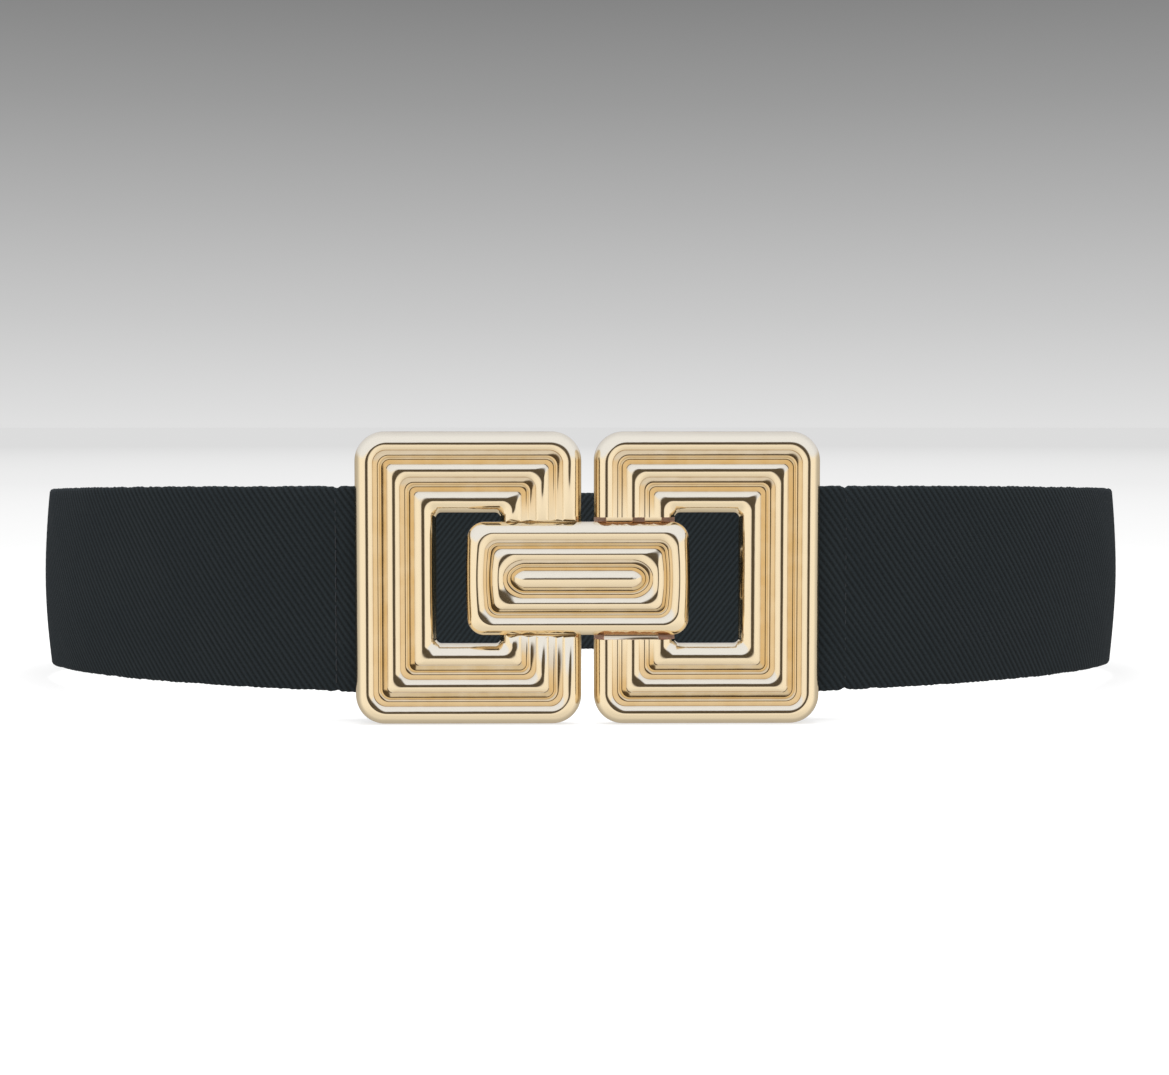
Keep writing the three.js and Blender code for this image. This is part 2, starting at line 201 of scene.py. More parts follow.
# Ridges of a frame from its outer edge to its opening. The width is a share of the member's width, the
# heights are shares of the frame's depth and the corners shares of its outer corner's radius. The flanks
# fall from the crest by this power of the distance: 2 is a round crest and 1 a sharp one.
FRAME_RIDGES = [
    Ridge(0.230, 0.64, 0.44, 1.00, 0.86, 1.00, 0.66, 2.00),
    Ridge(0.087, 0.74, 0.86, 0.94, 0.89, 0.46, 0.36, 1.50),
    Ridge(0.088, 0.26, 0.89, 0.93, 0.85, 0.34, 0.30, 1.30),
    Ridge(0.157, 0.48, 0.85, 0.98, 0.84, 0.15, 0.38, 2.00),
    Ridge(0.091, 0.73, 0.84, 0.92, 0.87, 0.36, 0.28, 1.50),
    Ridge(0.090, 0.28, 0.87, 0.91, 0.82, 0.27, 0.23, 1.30),
    Ridge(0.257, 0.39, 0.82, 0.96, 0.44, 0.13, 0.34, 2.00),
]

# Ridges of the clasp plate from its edge to its middle line. The width is a share of half the plate's
# height, the heights are shares of its depth and the corners shares of half its height.
PLATE_RIDGES = [
    Ridge(0.310, 0.61, 0.36, 0.97, 0.785, 0.27, 0.24, 1.60),
    Ridge(0.080, 0.70, 0.785, 0.86, 0.82, 0.20, 0.15, 1.50),
    Ridge(0.080, 0.30, 0.82, 0.855, 0.80, 0.13, 0.11, 1.30),
    Ridge(0.190, 0.51, 0.80, 0.95, 0.807, 0.11, 0.215, 1.50),
    Ridge(0.100, 0.70, 0.807, 0.885, 0.845, 0.31, 0.255, 1.50),
    Ridge(0.095, 0.30, 0.845, 0.88, 0.81, 0.23, 0.20, 1.30),
    Ridge(0.145, 0.98, 0.81, 1.00, 1.00, 0.14, 0.01, 1.35),
]

Station = namedtuple("Station", "inset rise corner groove fine")


def deselect_all():
    bpy.ops.object.select_all(action="DESELECT")


def only(piece):
    """Makes one object the selected and active one."""
    deselect_all()
    piece.select_set(True)
    bpy.context.view_layer.objects.active = piece


def edit(piece):
    only(piece)
    bpy.ops.object.mode_set(mode="EDIT")


def leave_edit():
    bpy.ops.object.mode_set(mode="OBJECT")


def select_where(piece, elements, wanted):
    """Selects just the vertices, edges or faces of the edited piece that the test wants."""
    bpy.ops.mesh.select_all(action="DESELECT")
    mesh = bmesh.from_edit_mesh(piece.data)
    chosen = [element for element in getattr(mesh, elements) if wanted(element)]
    for element in chosen:
        element.select_set(True)
    mesh.select_flush_mode()
    bmesh.update_edit_mesh(piece.data)
    return len(chosen)


def apply_modifier(piece, kind, **settings):
    """Adds a modifier with these settings and applies it."""
    modifier = piece.modifiers.new(kind.lower(), kind)
    for name, value in settings.items():
        setattr(modifier, name, value)
    only(piece)
    bpy.ops.object.modifier_apply(modifier=modifier.name)


def combine(piece, other, operation):
    """Joins or cuts the piece with the other one, which is then gone."""
    apply_modifier(piece, "BOOLEAN", operation=operation, object=other, solver="EXACT",
                   material_mode="TRANSFER")
    bpy.data.objects.remove(other)


def copy_of(piece, name):
    made = piece.copy()
    made.data = piece.data.copy()
    made.name = name
    bpy.context.scene.collection.objects.link(made)
    return made


def block(low, high, edge_round=0.0, steps=3):
    """A box between two corners with rounded edges."""
    deselect_all()
    bpy.ops.mesh.primitive_cube_add(size=1, location=(low + high) / 2)
    box = bpy.context.object
    box.scale = high - low
    bpy.ops.object.transform_apply(location=True, rotation=True, scale=True)
    if edge_round:
        apply_modifier(box, "BEVEL", width=edge_round, segments=steps, limit_method="NONE")
    return box


def rod(radius, start, end, sides=40, end_round=0.0):
    """A round rod between two points, with rounded rims if wanted."""
    deselect_all()
    along = end - start
    turn = along.to_track_quat("Z", "Y").to_euler()
    bpy.ops.mesh.primitive_cylinder_add(
        vertices=sides, radius=radius, depth=along.length, location=(start + end) / 2, rotation=turn)
    made = bpy.context.object
    bpy.ops.object.transform_apply(location=True, rotation=True, scale=True)
    if end_round:
        apply_modifier(made, "BEVEL", width=end_round, segments=5, limit_method="ANGLE")
    return made


def finish_piece(piece, name, materials, smooth_angle=50.0):
    """Brings a piece from millimetres to metres, and gives it its name, shading and materials."""
    piece.name = name
    piece.data.name = name
    only(piece)
    piece.scale = (1 / MM, 1 / MM, 1 / MM)
    bpy.ops.object.transform_apply(location=True, rotation=True, scale=True)
    bpy.ops.object.shade_smooth_by_angle(angle=math.radians(smooth_angle))
    for order, material in enumerate(materials):
        if order < len(piece.data.materials):
            piece.data.materials[order] = material
        else:
            piece.data.materials.append(material)
    return piece


def ridge_stations(ridges, span, depth, corner_unit, last_corner):
    """Where each ring over the ridges lies. Every flank falls from its crest by a power of the distance."""
    stations = []
    start = 0.0
    for order, ridge in enumerate(ridges):
        is_last = order == len(ridges) - 1
        end_corner = last_corner if is_last else ridges[order + 1].corner * corner_unit
        is_fine = ridge.crest - ridge.outer_foot < FINE_RISE
        fineness = (2 - ridge.power) / 0.7 if is_fine else 0.0
        steps = FINE_STEPS if is_fine else FLANK_STEPS
        crest_corner = ridge.crest_corner * corner_unit

        def station(edge, foot, foot_corner, share):
            away = (1 + math.cos(math.pi * share)) / 2
            return Station(
                inset=span * (start + ridge.width * (ridge.crest_at + (edge - ridge.crest_at) * away)),
                rise=depth * (ridge.crest - (ridge.crest - foot) * away ** ridge.power),
                corner=foot_corner + (crest_corner - foot_corner) * share,
                # groove is 1 at a ridge's foot and falls to 0 at its crest; the materials paint shade into the grooves
                # by it
                groove=(1 - share) ** 6,
                fine=fineness,
            )

        outer_corner = ridge.corner * corner_unit
        for step in range(steps + 1):
            stations.append(station(0, ridge.outer_foot, outer_corner, step / steps))
        if ridge.crest_at < 0.9:
            last_step = 0 if is_last else 1
            for step in range(steps - 1, last_step - 1, -1):
                stations.append(station(1, ridge.inner_foot, end_corner, step / steps))
        start += ridge.width
    return stations


def add_ring(piece, order, width, height, station, middle, bow=0.0):
    """Adds a rounded rectangle of edges to the edited piece and marks it with its order."""
    bpy.ops.mesh.primitive_plane_add(size=1, location=middle, rotation=(math.radians(90), 0, 0))
    bpy.ops.transform.resize(value=(width - 2 * bow, 1, height), center_override=middle)
    radius = min(station.corner, ROUNDEST_CORNER * width, ROUNDEST_CORNER * height)
    bpy.ops.mesh.bevel(offset=radius, segments=CORNER_STEPS, affect="VERTICES", clamp_overlap=False)
    mesh = bmesh.from_edit_mesh(piece.data)
    if bow:
        bow_ends(mesh, height, middle, bow)
    rings = mesh.verts.layers.int["ring"]
    grooves = mesh.verts.layers.float["groove"]
    fines = mesh.verts.layers.float["fine"]
    for vertex in mesh.verts:
        if vertex.select:
            vertex[rings] = order
            vertex[grooves] = station.groove
            vertex[fines] = station.fine
    bmesh.update_edit_mesh(piece.data)
    bpy.ops.mesh.delete(type="ONLY_FACE")


def bow_ends(mesh, height, middle, bow):
    """Cuts the two short ends of the selected ring finer and lets them swell outwards to their middle."""
    reach = max(abs(vertex.co.x - middle.x) for vertex in mesh.verts if vertex.select)
    ends = [edge for edge in mesh.edges if edge.select and all(
        abs(vertex.co.x - middle.x) > reach - 1e-4 for vertex in edge.verts)]
    made = bmesh.ops.subdivide_edges(mesh, edges=ends, cuts=BOW_CUTS)
    for element in made["geom_inner"]:
        element.select_set(True)
    for vertex in mesh.verts:
        if vertex.select:
            aside = vertex.co.x - middle.x
            share = 2 * (vertex.co.z - middle.z) / height
            vertex.co.x += math.copysign(bow, aside) * (1 - share * share)


def bridge_rings(piece, pairs):
    """Joins the rings in pairs with faces."""
    for first, second in pairs:
        mesh = bmesh.from_edit_mesh(piece.data)
        rings = mesh.verts.layers.int["ring"]

        def on_ring(edge):
            a, b = (vertex[rings] for vertex in edge.verts)
            return a == b and a in (first, second)

        select_where(piece, "edges", on_ring)
        bpy.ops.mesh.bridge_edge_loops()


def new_rings(name):
    """An empty mesh in edit mode whose vertices know their ring, how deep in a groove they lie and whether
    they are on one of the fine ribs."""
    deselect_all()
    made = bpy.data.objects.new(name, bpy.data.meshes.new(name))
    bpy.context.scene.collection.objects.link(made)
    made.data.attributes.new("ring", "INT", "POINT")
    made.data.attributes.new("groove", "FLOAT", "POINT")
    made.data.attributes.new("fine", "FLOAT", "POINT")
    edit(made)
    return made


def ribbed_frame():
    """The cast body that both frames share, in the middle of the row frame."""
    body = new_rings("ribbed_body")
    stations = ridge_stations(FRAME_RIDGES, MEMBER_WIDTH, FRAME_DEPTH, FRAME_CORNER, OPENING_CORNER)
    inner_rim = MEMBER_WIDTH - RIM_WIDTH
    inner_corner = OPENING_CORNER + RIM_WIDTH
    outer_corner = FRAME_CORNER - RIM_WIDTH
    stations += [
        Station(MEMBER_WIDTH, BACK_EDGE_ROUND, OPENING_CORNER, 0, 0),
        Station(MEMBER_WIDTH - BACK_EDGE_ROUND, 0, OPENING_CORNER + BACK_EDGE_ROUND, 0, 0),
        Station(inner_rim + BACK_EDGE_ROUND, RIM_LEAN, inner_corner - BACK_EDGE_ROUND, 0, 0),
        Station(inner_rim, BACK_EDGE_ROUND, inner_corner, 0, 0),
        Station(inner_rim - BACK_EDGE_ROUND, RECESS_DEPTH, inner_corner + BACK_EDGE_ROUND, 0, 0),
        Station(RIM_WIDTH + BACK_EDGE_ROUND, RECESS_DEPTH + RIM_LEAN, outer_corner - BACK_EDGE_ROUND, 0, 0),
        Station(RIM_WIDTH, BACK_EDGE_ROUND, outer_corner, 0, 0),
        Station(RIM_WIDTH - BACK_EDGE_ROUND, RIM_LEAN, outer_corner + BACK_EDGE_ROUND, 0, 0),
        Station(BACK_EDGE_ROUND, 0, FRAME_CORNER - BACK_EDGE_ROUND, 0, 0),
        Station(0, BACK_EDGE_ROUND, FRAME_CORNER, 0, 0),
    ]
    for order, station in enumerate(stations):
        add_ring(body, order, FRAME_WIDTH - 2 * station.inset, FRAME_HEIGHT - 2 * station.inset,
                 station, Vector((0, BACK_Y - station.rise, MIDDLE_Z)))
    count = len(stations)
    bridge_rings(body, [(order, (order + 1) % count) for order in range(count)])
    bpy.ops.mesh.select_all(action="SELECT")
    bpy.ops.mesh.normals_make_consistent(inside=False)
    leave_edit()
    return body


def strap_bar(side):
    """The bar that the band is wrapped around, and the two lugs that hold it."""
    bar_x = side * (FRAME_GAP / 2 + FRAME_WIDTH - STRAP_BAR_INSET)
    wrap_radius = STRAP_BAR_DIAMETER / 2 + WRAP_CLEARANCE + BAND_THICKNESS / 2
    bar_y = BACK_Y + FRAME_CLEARANCE + BAND_THICKNESS / 2 + wrap_radius
    upper = MIDDLE_Z + BAND_WIDTH / 2 - BAND_DROP + LUG_CLEARANCE
    lower = MIDDLE_Z - BAND_WIDTH / 2 - BAND_DROP - LUG_CLEARANCE - LUG_THICKNESS
    parts = []
    for foot in (lower, upper):
        lug = block(
            Vector((bar_x - LUG_WIDTH / 2, BACK_Y - RECESS_DEPTH - ROOT_DEPTH, foot)),
            Vector((bar_x + LUG_WIDTH / 2, bar_y + LUG_WIDTH / 2, foot + LUG_THICKNESS)))
        edit(lug)
        select_where(lug, "edges", lambda edge: all(
            vertex.co.y > bar_y + 1 for vertex in edge.verts) and abs(
            edge.verts[0].co.z - edge.verts[1].co.z) > 1)
        bpy.ops.mesh.bevel(offset=LUG_WIDTH / 2 * 0.98, segments=10, affect="EDGES")
        leave_edit()
        apply_modifier(lug, "BEVEL", width=BACK_EDGE_ROUND, segments=2, limit_method="ANGLE")
        parts.append(lug)
    half_lug = LUG_THICKNESS / 2
    parts.append(rod(STRAP_BAR_DIAMETER / 2, Vector((bar_x, bar_y, lower + half_lug)),
                     Vector((bar_x, bar_y, upper + half_lug))))
    return parts


def flared_seat(low, high):
    """A block that opens upwards and downwards in front, so that the ribs it cuts end in a slope."""
    seat = block(low, high)
    edit(seat)
    bpy.ops.mesh.select_all(action="SELECT")
    flare_y = BACK_Y - FLARE_DEPTH
    bpy.ops.mesh.bisect(plane_co=(0, flare_y, 0), plane_no=(0, 1, 0))
    select_where(seat, "verts", lambda vertex: vertex.co.y < flare_y - 0.01)
    taller = 1 + 2 * (flare_y - low.y) / (high.z - low.z)
    bpy.ops.transform.resize(value=(1, 1, taller), center_override=(low + high) / 2)
    leave_edit()
    return seat


def ledge(near, far, from_z, to_z):
    """A low step cast on the floor of the right seat. Its face falls back towards the plate at from_z."""
    step = block(Vector((near, BACK_Y - LEDGE_DEPTH, min(from_z, to_z))),
                 Vector((far, BACK_Y - BAR_DEPTH + ROOT_DEPTH, max(from_z, to_z))))
    for vertex in step.data.vertices:
        if vertex.co.y < BACK_Y - BAR_DEPTH and abs(vertex.co.z - from_z) < 0.01:
            vertex.co.y += LEDGE_FALL
    apply_modifier(step, "BEVEL", width=0.08, segments=2, limit_method="ANGLE")
    return step


def buckle_frame(body, name, side, margin, stud_holes, materials):
    """One frame: the ribbed body with its seat cut for the clasp plate, its strap bar and its stud holes."""
    made = copy_of(body, name)
    made.data.transform(Matrix.Translation((side * (FRAME_GAP + FRAME_WIDTH) / 2, 0, 0)))
    seat_half = PLATE_HEIGHT / 2 + margin
    inner_edge = FRAME_GAP / 2
    opening_edge = inner_edge + MEMBER_WIDTH

    def between(near, far, front, back, half):
        low_x, high_x = sorted((side * near, side * far))
        return (Vector((low_x, BACK_Y - front, MIDDLE_Z - half)),
                Vector((high_x, BACK_Y - back, MIDDLE_Z + half)))

    backing = block(*between(inner_edge + RIM_WIDTH / 2, opening_edge - RIM_WIDTH / 2,
                             BAR_DEPTH + ROOT_DEPTH, 0, seat_half + SEAT_BACKING))
    combine(made, backing, "UNION")
    cutter = flared_seat if side < 0 else block
    seat = cutter(*between(0, opening_edge + RIM_WIDTH, 2 * FRAME_DEPTH, BAR_DEPTH, seat_half))
    seat.data.materials.append(materials[1])
    made.data.materials.append(materials[0])
    combine(made, seat, "DIFFERENCE")
    parts = strap_bar(side)
    if side > 0:
        plate_half = PLATE_HEIGHT / 2 + LEDGE_CLEARANCE
        for up, ledges in ((1, LEDGES_ABOVE), (-1, LEDGES_BELOW)):
            parts += [ledge(near, far, MIDDLE_Z + up * plate_half, MIDDLE_Z + up * (seat_half + ROOT_DEPTH))
                      for near, far in ledges]
    for part in parts:
        combine(made, part, "UNION")
    for x, z in stud_holes:
        hole = rod(STUD_DIAMETER / 2 + SEAT_CLEARANCE, Vector((x, BACK_Y - FRAME_DEPTH, z)),
                   Vector((x, BACK_Y + FRAME_DEPTH, z)))
        combine(made, hole, "DIFFERENCE")
    return finish_piece(made, name, materials)


STUD_X = -(FRAME_GAP + MEMBER_WIDTH) / 2
STUDS = [(STUD_X, MIDDLE_Z - STUD_SPACING / 2), (STUD_X, MIDDLE_Z + STUD_SPACING / 2)]


def hook():
    """The cast hook that goes through the right frame's opening and back behind its inner bar."""
    post_x = FRAME_GAP / 2 + MEMBER_WIDTH + SEAT_CLEARANCE
    half = HOOK_WIDTH / 2
    turn_y = BACK_Y + SEAT_CLEARANCE
    made = block(Vector((post_x, PLATE_BACK_Y - 1, MIDDLE_Z - half)),
                 Vector((post_x + HOOK_THICKNESS, turn_y + HOOK_THICKNESS, MIDDLE_Z + half)))
    edit(made)
    bpy.ops.mesh.select_all(action="SELECT")
    bpy.ops.mesh.bisect(plane_co=(post_x, turn_y, MIDDLE_Z), plane_no=(0, 1, 0))
    select_where(made, "faces", lambda face: face.normal.x < -0.9 and face.calc_center_median().y > turn_y)
    bpy.ops.mesh.extrude_region_move(TRANSFORM_OT_translate={"value": (-HOOK_REACH, 0, 0)})
    bpy.ops.mesh.select_all(action="SELECT")
    bpy.ops.mesh.normals_make_consistent(inside=False)
    outer_y = turn_y + HOOK_THICKNESS
    select_where(made, "edges", lambda edge: abs(edge.verts[0].co.z - edge.verts[1].co.z) > half and all(
        vertex.co.y > outer_y - 0.01 and vertex.co.x > post_x + 1 for vertex in edge.verts))
    bpy.ops.mesh.bevel(offset=HOOK_THICKNESS * 0.9, segments=8, affect="EDGES")
    leave_edit()
    apply_modifier(made, "BEVEL", width=0.4, segments=3, limit_method="ANGLE", angle_limit=math.radians(50))
    return made


def clasp_plate(materials):
    """The ribbed plate over both inner bars, with its two riveted studs and its hook behind."""
    plate = new_rings("ribbed_clasp_plate")
    half = PLATE_HEIGHT / 2
    corner = PLATE_RIDGES[0].corner * half
    stations = [Station(0.25, 0, corner, 0, 0), Station(0, 0.3, corner, 0, 0)]
    stations += ridge_stations(PLATE_RIDGES, half, PLATE_DEPTH, half, 0)
    for order, station in enumerate(stations):
        add_ring(plate, order, PLATE_WIDTH - 2 * station.inset, PLATE_HEIGHT - 2 * station.inset,
                 station, Vector((PLATE_MIDDLE_X, PLATE_BACK_Y - station.rise, MIDDLE_Z)), END_BOW)
    last = len(stations) - 1
    bridge_rings(plate, [(order, order + 1) for order in range(last)])
    for cap in (0, last):
        mesh = bmesh.from_edit_mesh(plate.data)
        rings = mesh.verts.layers.int["ring"]
        select_where(plate, "edges", lambda edge: all(vertex[rings] == cap for vertex in edge.verts))
        bpy.ops.mesh.edge_face_add()
    bpy.ops.mesh.select_all(action="SELECT")
    bpy.ops.mesh.normals_make_consistent(inside=False)
    leave_edit()
    plate.data.materials.append(materials[0])
    combine(plate, hook(), "UNION")
    for x, z in STUDS:
        head_y = BACK_Y + SEAT_CLEARANCE
        shank = rod(STUD_DIAMETER / 2, Vector((x, PLATE_BACK_Y - 1, z)),
                    Vector((x, head_y + STUD_HEAD_DEPTH / 2, z)))
        combine(plate, shank, "UNION")
        head = rod(STUD_HEAD_DIAMETER / 2, Vector((x, head_y, z)),
                   Vector((x, head_y + STUD_HEAD_DEPTH, z)), end_round=STUD_HEAD_DEPTH * 0.45)
        combine(plate, head, "UNION")
    edit(plate)
    bpy.ops.mesh.select_all(action="SELECT")
    bpy.ops.mesh.fill_holes(sides=4)
    leave_edit()
    return finish_piece(plate, "ribbed_clasp_plate", materials)


class Route:
    """A line over the ground plan made of straight legs and arcs, which gives a place for any run."""

    Place = namedtuple("Place", "x y heading")

    def __init__(self, x, y, heading):
        self.legs = []
        self.starts = []
        self.end = self.Place(x, y, math.radians(heading))
        self.length = 0.0

    def go(self, length, turn=0.0):
        """Adds a leg of this length that turns left by an angle in degrees."""
        self.legs.append((self.end, length, math.radians(turn)))
        self.starts.append(self.length)
        self.length += length
        self.end = self.at(self.length)

    def arc(self, turn, radius):
        self.go(abs(math.radians(turn)) * radius, turn)

    def at(self, run):
        order = max(0, bisect.bisect_right(self.starts, run) - 1)
        begin, length, turn = self.legs[order]
        gone = run - self.starts[order]
        if turn == 0:
            return self.Place(begin.x + gone * math.cos(begin.heading),
                              begin.y + gone * math.sin(begin.heading), begin.heading)
        radius = length / turn
        now = begin.heading + gone / radius
        return self.Place(begin.x + radius * (math.sin(now) - math.sin(begin.heading)),
                          begin.y - radius * (math.cos(now) - math.cos(begin.heading)), now)


Arc = namedtuple("Arc", "turn radius")

# Arcs of the loop seen from above, from the sewn end to the flat back. The turn is in degrees and the
# radius a share of half the loop's width.
LOOP_ARCS = [Arc(20, 1.05), Arc(19, 0.91), Arc(98, 0.28)]


def unit_vector(heading):
    return Vector((math.cos(math.radians(heading)), math.sin(math.radians(heading))))


def half_route():
    """The band's right half in plan, from its sewn tail around the strap bar to the middle of the back.

    Returns the route and the run at which the open loop starts."""
    bar_x = FRAME_GAP / 2 + FRAME_WIDTH - STRAP_BAR_INSET
    band_y = BACK_Y + FRAME_CLEARANCE + BAND_THICKNESS / 2
    wrap_radius = STRAP_BAR_DIAMETER / 2 + WRAP_CLEARANCE + BAND_THICKNESS / 2
    bar_y = band_y + wrap_radius
    under_frame = Route(bar_x, band_y, 0)
    under_frame.go(STRAIGHT_UNDER_FRAME)
    under_frame.arc(START_HEADING, START_RADIUS)
    leaving = Vector((under_frame.end.x, under_frame.end.y))
    along = unit_vector(START_HEADING)
    away = unit_vector(TAIL_HEADING)
    layer = BAND_THICKNESS + SEWN_GAP
    tail_line = leaving + layer * Vector((-along.y, along.x))
    start_angle = math.radians(180 + TAIL_HEADING)
    wrap_start = Vector((bar_x + wrap_radius * math.sin(start_angle), bar_y - wrap_radius * math.cos(start_angle)))
    between = tail_line - wrap_start
    to_bend = between.cross(along) / away.cross(along)
    bend_turn = START_HEADING - TAIL_HEADING
    bend_tangent = TAIL_RADIUS * math.tan(math.radians(bend_turn / 2))
    tail_end = wrap_start + away * to_bend + along * (bend_tangent + SEWN_LENGTH)

    route = Route(tail_end.x, tail_end.y, 180 + START_HEADING)
    route.go(SEWN_LENGTH)
    route.arc(-bend_turn, TAIL_RADIUS)
    route.go(to_bend - bend_tangent)
    route.arc(180 - TAIL_HEADING, wrap_radius)
    route.go(STRAIGHT_UNDER_FRAME)
    route.arc(START_HEADING, START_RADIUS)
    route.go((tail_end - leaving).dot(along) + SEWN_MARGIN)

    loop_start = route.length
    heading = START_HEADING
    reach = 0.0
    for arc in LOOP_ARCS:
        end = min(heading + arc.turn, 90)
        reach += arc.radius * (math.sin(math.radians(end)) - math.sin(math.radians(heading)))
        heading += arc.turn
    unit = ((LOOP_WIDTH - BAND_THICKNESS) / 2 - route.end.x) / reach
    for arc in LOOP_ARCS:
        route.arc(arc.turn, arc.radius * unit)
    left_to_turn = 180 - heading
    route.arc(left_to_turn, route.end.x / math.sin(math.radians(left_to_turn)))
    return route, loop_start


ROUTE, LOOP_START = half_route()
BAND_LENGTH = 2 * ROUTE.length
BAND_MIDDLE_Z = MIDDLE_Z - BAND_DROP
GROUND_LIFT = BAND_MIDDLE_Z - BAND_WIDTH / 2


def band_place(run, across, offset):
    """Where a point of the flat strip lies once it is around the buckle: how far along it is, how far
    above or below its middle line, and how far outside its middle surface."""
    first_half = run <= ROUTE.length
    place = ROUTE.at(min(run, BAND_LENGTH - run))
    side = 1 if first_half else -1
    outward_x = side * math.sin(place.heading)
    outward_y = -math.cos(place.heading)
    share = (min(run, BAND_LENGTH - run) - LOOP_START) / (2 * (ROUTE.length - LOOP_START))
    bulge = BAND_BOW * math.sin(math.pi * max(0.0, share))
    level = 2 * across / BAND_WIDTH
    sink = GROUND_LIFT * (max(0.0, place.y - BACK_Y) / (ROUTE.end.y - BACK_Y)) ** SINK_POWER
    out = bulge * (1 - level * level) + offset
    return Vector((side * place.x + outward_x * out, place.y + outward_y * out, BAND_MIDDLE_Z + across - sink))


def band_section():
    """The closed cross-section of the flat strip, as places across it and offsets from its middle surface."""
    half = BAND_THICKNESS / 2
    straight = BAND_WIDTH / 2 - SELVEDGE_ROUND
    face = [straight * (2 * row / FACE_ROWS - 1) for row in range(FACE_ROWS + 1)]
    turn = [math.pi * (step / SELVEDGE_ROWS - 0.5) for step in range(1, SELVEDGE_ROWS)]
    upper = [(straight + SELVEDGE_ROUND * math.cos(angle), -half * math.sin(angle)) for angle in turn]
    lower = [(-across, -offset) for across, offset in upper]
    return [(across, half) for across in face] + upper + [(-across, -half) for across in face] + lower


RIB_LEAN = 1 / math.tan(math.radians(RIB_ANGLE))
RIB_RUN = RIB_PITCH / math.sin(math.radians(RIB_ANGLE))
RIB_PROFILE = [0.0, 0.78, 1.0, 0.78]

StitchLine = namedtuple("StitchLine", "name side x run tail_run")


def stitch_lines():
    """Where the folded ends of the band are sewn down, a few millimetres outside each frame."""
    leg = len(ROUTE.legs) - len(LOOP_ARCS) - 2
    begin = ROUTE.legs[leg][0]
    run_start = ROUTE.starts[leg]
    slope = math.cos(begin.heading)
    tail_end = ROUTE.legs[0][0]
    edge = FRAME_GAP / 2 + FRAME_WIDTH
    lines = []
    for name, side, outside in (("left", -1, STITCH_OUTSIDE_LEFT), ("right", 1, STITCH_OUTSIDE_RIGHT)):
        x = edge + outside
        run = run_start + (x - begin.x) / slope
        tail_run = (tail_end.x - x) / slope
        if side < 0:
            run = BAND_LENGTH - run
            tail_run = BAND_LENGTH - tail_run
        lines.append(StitchLine(name, side, x, run, tail_run))
    return lines


STITCH_LINES = stitch_lines()


def pinch(run):
    """How strongly the sewing pulls the band in at this run, from 0 to 1."""
    return sum(math.exp(-((run - at) / PINCH_REACH) ** 2) for line in STITCH_LINES for at in (line.run, line.tail_run))


def woven_band(material):
    """The band as one flat strip with its twill ribs, cut at both ends and brought around the buckle's bars."""
    section = band_section()
    rows = len(section)
    overhang = RIB_LEAN * BAND_WIDTH / 2 + RIB_RUN
    ribs = math.ceil((BAND_LENGTH + 2 * overhang) / RIB_RUN)
    columns = ribs * COLUMNS_PER_RIB
    deselect_all()
    bpy.ops.mesh.primitive_grid_add(x_subdivisions=columns, y_subdivisions=rows, size=1)
    band = bpy.context.object
    draws = random.Random(RIB_SEED)
    rib_rises = [RIB_RISE * draws.uniform(0.75, 1.1) for _ in range(ribs + 1)]
    for vertex in band.data.vertices:
        column = round((vertex.co.x + 0.5) * columns)
        across, offset = section[round((vertex.co.y + 0.5) * rows) % rows]
        run = column * RIB_RUN / COLUMNS_PER_RIB - overhang - RIB_LEAN * across
        crest = RIB_PROFILE[column % COLUMNS_PER_RIB]
        sunk = rib_rises[column // COLUMNS_PER_RIB] * (1 - crest)
        half = BAND_THICKNESS / 2
        on_edge = abs(across) > BAND_WIDTH / 2 - SELVEDGE_ROUND * 0.99
        if on_edge:
            across -= math.copysign(EDGE_SCALLOP * (1 - crest), across)
        vertex.co = (run, offset * (1 - sunk / half), across)
    edit(band)
    bpy.ops.mesh.select_all(action="SELECT")
    bpy.ops.mesh.remove_doubles(threshold=1e-3)
    for cut_x, direction in ((0, -1), (BAND_LENGTH, 1)):
        bpy.ops.mesh.select_all(action="SELECT")
        bpy.ops.mesh.bisect(plane_co=(cut_x, 0, 0), plane_no=(direction, 0, 0), use_fill=True, clear_outer=True)
    bpy.ops.mesh.select_all(action="SELECT")
    bpy.ops.mesh.normals_make_consistent(inside=False)
    leave_edit()

    flat = band.data.uv_layers.active or band.data.uv_layers.new(name="strip")
    flat.name = "strip"
    for loop in band.data.loops:
        place = band.data.vertices[loop.vertex_index].co
        flat.uv[loop.index].vector = (place.x / BAND_LENGTH, place.z / BAND_WIDTH + 0.5)
    for vertex in band.data.vertices:
        run, offset, across = vertex.co
        ripple = FABRIC_RIPPLE * noise.noise(Vector((run, across, 0)) / RIPPLE_SIZE)
        pulled = pinch(run)
        edge_share = (2 * abs(across) / BAND_WIDTH) ** 8
        raggedness = EDGE_RAGGED * noise.noise(Vector((run, math.copysign(40, across), 7)) / 2.6)
        across -= math.copysign(edge_share * (raggedness + EDGE_NOTCH * pulled), across)
        offset *= 1 - PINCH_DEPTH * min(1.0, pulled) / (BAND_THICKNESS / 2)
        vertex.co = band_place(run, across, offset + ripple)
    edit(band)
    bpy.ops.mesh.select_all(action="SELECT")
    bpy.ops.mesh.flip_normals()
    leave_edit()
    return finish_piece(band, "twill_band", [material], smooth_angle=60)


